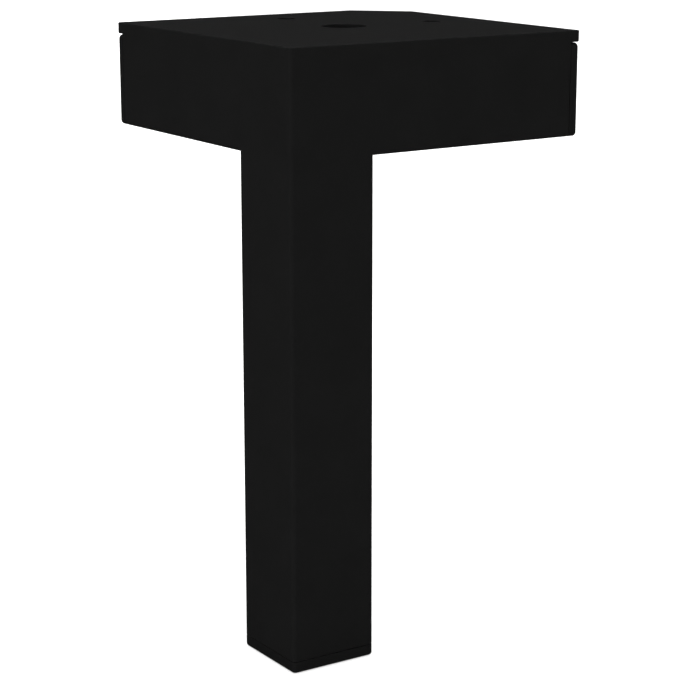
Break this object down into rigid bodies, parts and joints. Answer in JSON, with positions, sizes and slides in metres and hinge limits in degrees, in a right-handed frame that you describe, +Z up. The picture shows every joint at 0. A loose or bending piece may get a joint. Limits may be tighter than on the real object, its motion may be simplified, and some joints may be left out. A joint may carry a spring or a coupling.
{
  "type": "corner furniture leg",
  "caption": "Black corner furniture leg: square steel post with an arm along each side of a cropped mounting plate, plastic caps in the tube ends, and holes for fixing the plate.",
  "frame": {"origin": "on the plate's top face, on the axis of the post; the foot's underside is 260 mm below", "axes": "+Z up, the way the plate faces the furniture; +X along the right arm and +Y along the left arm, away from the outer corner"},
  "size_m": [0.145, 0.145, 0.26],
  "materials": {
    "powder_coated_steel": "satin to matt black powder coat, fine even texture",
    "powder_coated_weld": "black powder coat over the weld's ripple",
    "cap_plastic": "matt black moulded plastic, finely grained"
  },
  "bodies": {
    "root": {"mounting_plate": "powder_coated_steel", "post_tube": "powder_coated_steel", "right_arm_tube": "powder_coated_steel", "left_arm_tube": "powder_coated_steel", "right_arm_post_seam_weld": "powder_coated_weld", "right_arm_plate_seam_weld": "powder_coated_weld", "right_arm_underside_weld": "powder_coated_weld", "right_arm_plate_weld": "powder_coated_weld", "left_arm_post_seam_weld": "powder_coated_weld", "left_arm_plate_seam_weld": "powder_coated_weld", "left_arm_underside_weld": "powder_coated_weld", "left_arm_plate_weld": "powder_coated_weld", "inner_corner_weld": "powder_coated_weld", "right_arm_end_cap": "cap_plastic", "left_arm_end_cap": "cap_plastic", "foot_cap": "cap_plastic"}
  },
  "joints": []
}
